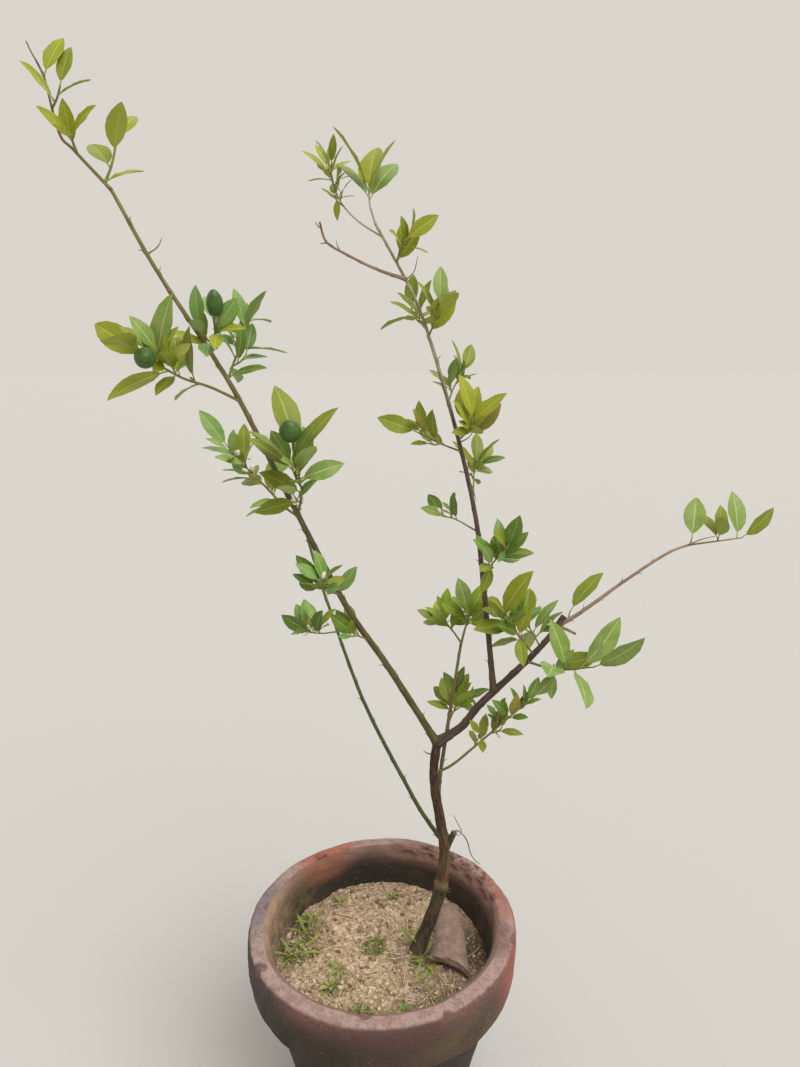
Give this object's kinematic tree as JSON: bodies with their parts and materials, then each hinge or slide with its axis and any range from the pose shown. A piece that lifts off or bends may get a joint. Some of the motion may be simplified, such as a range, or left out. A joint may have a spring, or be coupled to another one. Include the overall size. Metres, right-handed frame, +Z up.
{
  "type": "potted lemon tree",
  "caption": "Young grafted lemon tree with long open boughs, leaf sprays and small green fruit, planted in soil in a collared clay pot.",
  "frame": {"origin": "centre of the pot's flat underside, on the level that the pot stands on", "axes": "+Z up along the pot's axis; the front of the tree faces -Y and the long arm reaches towards +X"},
  "size_m": [0.6907, 0.4033, 1.0939],
  "materials": {
    "clay": "unglazed, weathered, with algae and worn edges",
    "soil": "loose sandy soil with litter and moss",
    "old_clay": "unglazed, pitted, dusty",
    "trunk_bark": "rough grey-brown bark",
    "bough_bark": "smooth olive-brown bark",
    "green_bark": "smooth green bark",
    "foliage": "waxy leaves on green twigs, small green fruit"
  },
  "bodies": {
    "root": {"pot": "clay", "soil": "soil", "potsherd": "old_clay", "trunk": "trunk_bark", "right_bough": "trunk_bark", "left_bough": "bough_bark", "leader": "bough_bark", "right_arm": "bough_bark", "low_shoot": "green_bark", "back_shoot": "bough_bark", "bare_twig": "bough_bark", "arm_spray": "foliage", "centre_left_spray": "foliage", "centre_right_spray": "foliage", "centre_spray": "foliage", "crown_left_spray": "foliage", "crown_right_spray": "foliage", "crown_tip_spray": "foliage", "fork_spray": "foliage", "inner_fruit_spray": "foliage", "left_mid_spray": "foliage", "left_tip_spray": "foliage", "left_upper_spray": "foliage", "low_back_spray": "foliage", "low_front_spray": "foliage", "low_inner_spray": "foliage", "low_right_spray": "foliage", "low_shoot_spray": "foliage", "mid_left_spray": "foliage", "mid_low_spray": "foliage", "mid_right_spray": "foliage", "mid_upper_spray": "foliage", "outer_fruit_spray": "foliage", "right_back_spray": "foliage", "right_front_spray": "foliage", "right_left_spray": "foliage", "right_tip_spray": "foliage", "upper_left_spray": "foliage", "upper_right_spray": "foliage"}
  },
  "joints": []
}
